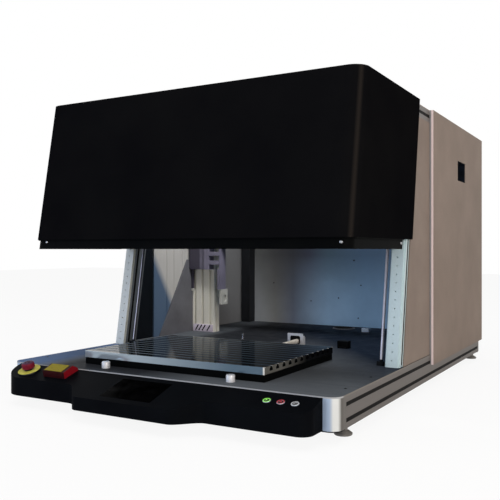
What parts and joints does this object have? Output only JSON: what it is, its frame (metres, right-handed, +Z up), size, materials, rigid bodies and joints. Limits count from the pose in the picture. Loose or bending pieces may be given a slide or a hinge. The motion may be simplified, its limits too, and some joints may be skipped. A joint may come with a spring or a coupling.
{
  "type": "laser marking machine",
  "caption": "Benchtop laser marking machine with a raised black lift door, grey rear cover, slotted work table, Z columns, scan head and a sloping control console.",
  "frame": {"origin": "middle of the bounding box at the floor, under the levelling feet", "axes": "+X to the right seen from the front, +Y from the console to the rear panel, +Z up"},
  "size_m": [0.866, 1.3314, 0.727],
  "materials": {
    "rail_aluminium": "satin anodised",
    "bright_aluminium": "satin anodised",
    "post_aluminium": "satin anodised",
    "column_aluminium": "satin anodised",
    "table_aluminium": "milled",
    "deck_aluminium": "dark satin anodised",
    "grey_panel": "fine satin powder coat",
    "black_panel": "satin powder coat",
    "dark_bracket": "satin powder coat",
    "steel": "ground",
    "black_plastic": "fine grain",
    "beige_plastic": "smooth",
    "foot_rubber": "smooth",
    "screen_glass": "polished",
    "red_plastic": "smooth",
    "yellow_plastic": "smooth",
    "lamp_red": "clear tinted",
    "green_lens": "clear tinted",
    "red_lens": "clear tinted",
    "white_lens": "clear tinted",
    "lens_glass": "coated"
  },
  "bodies": {
    "frame": {"levelling_feet": "foot_rubber", "base_rails": "rail_aluminium", "base_beams": "rail_aluminium", "base_corners": "bright_aluminium", "deck_plate": "deck_aluminium", "front_posts": "rail_aluminium", "guide_rails": "post_aluminium", "uprights": "column_aluminium", "wall_posts": "column_aluminium", "top_rails": "rail_aluminium", "top_beams": "rail_aluminium", "side_panels": "grey_panel", "rear_cover": "grey_panel", "roof_panel": "grey_panel", "upper_front_panel": "dark_bracket", "back_wall": "grey_panel", "cable_duct": "black_plastic", "rear_panel": "grey_panel", "hand_grips": "black_plastic", "exhaust_spigot": "black_plastic", "fan_frame": "black_plastic", "mains_inlet": "black_plastic", "laser_source": "dark_bracket", "table_base": "black_panel", "table_top": "table_aluminium", "door_buffers": "steel", "z_columns": "column_aluminium", "gussets": "dark_bracket", "z_motors": "black_panel", "strut_rods": "steel", "console": "black_panel", "touch_screen": "screen_glass", "estop_plate": "yellow_plastic", "estop_body": "black_plastic", "emission_lamp": "lamp_red", "button_rings": "steel", "deck_port": "bright_aluminium", "socket_plate": "bright_aluminium", "socket_plug": "beige_plastic", "limit_box": "black_plastic", "gland_block": "post_aluminium"},
    "door": {"door_hood": "black_panel", "door_frame": "black_panel", "lip_bolts": "steel", "carriage_plates": "dark_bracket", "guide_blocks": "steel", "strut_tubes": "black_panel"},
    "z_head": {"z_carriages": "dark_bracket", "cross_beam": "column_aluminium", "laser_arm": "dark_bracket", "scan_head": "black_panel", "lens": "lens_glass"},
    "left_screw": {"left_screw": "steel"},
    "right_screw": {"right_screw": "steel"},
    "fan": {"fan_wheel": "black_plastic"},
    "estop_stem": {"estop_stem": "red_plastic"},
    "estop_head": {"estop_head": "red_plastic"},
    "start_button": {"start_button": "green_lens"},
    "stop_button": {"stop_button": "red_lens"},
    "reset_button": {"reset_button": "white_lens"}
  },
  "joints": [
    {"name": "door_slide", "type": "slide", "parent": "frame", "child": "door", "axis": [0, 0.1736, 0.9848], "range_m": [-0.2754, 0]},
    {"name": "z_slide", "type": "slide", "parent": "frame", "child": "z_head", "axis": [0, 0, 1], "range_m": [-0.085, 0]},
    {"name": "left_screw_turn", "type": "hinge", "parent": "frame", "child": "left_screw", "pos_m": [-0.37, 0.23595, 0.288], "axis": [0, 0, 1], "range_deg": [-3065, 5]},
    {"name": "right_screw_turn", "type": "hinge", "parent": "frame", "child": "right_screw", "pos_m": [0.37, 0.23595, 0.288], "axis": [0, 0, 1], "range_deg": [-3065, 5]},
    {"name": "fan_spin", "type": "hinge", "parent": "frame", "child": "fan", "pos_m": [-0.25, 0.62065, 0.558], "axis": [0, 1, 0], "continuous": true},
    {"name": "estop_push", "type": "slide", "parent": "frame", "child": "estop_stem", "axis": [0, -0.2924, 0.9563], "range_m": [-0.003, 0], "stiffness_N_per_m": 1500, "springref_m": 0.002},
    {"name": "estop_twist", "type": "hinge", "parent": "estop_stem", "child": "estop_head", "pos_m": [-0.334, -0.58925, 0.0765], "axis": [0, -0.2924, 0.9563], "range_deg": [0, 30], "stiffness_Nm_per_rad": 0.05, "springref_deg": -5.73},
    {"name": "start_push", "type": "slide", "parent": "frame", "child": "start_button", "axis": [0, -0.2924, 0.9563], "range_m": [-0.0015, 0], "stiffness_N_per_m": 600, "springref_m": 0.001},
    {"name": "stop_push", "type": "slide", "parent": "frame", "child": "stop_button", "axis": [0, -0.2924, 0.9563], "range_m": [-0.0015, 0], "stiffness_N_per_m": 600, "springref_m": 0.001},
    {"name": "reset_push", "type": "slide", "parent": "frame", "child": "reset_button", "axis": [0, -0.2924, 0.9563], "range_m": [-0.0015, 0], "stiffness_N_per_m": 600, "springref_m": 0.001}
  ],
  "couplings": [
    {"joint": "left_screw_turn", "follows": "z_slide", "rad_per_m": 628.3},
    {"joint": "right_screw_turn", "follows": "z_slide", "rad_per_m": 628.3}
  ]
}
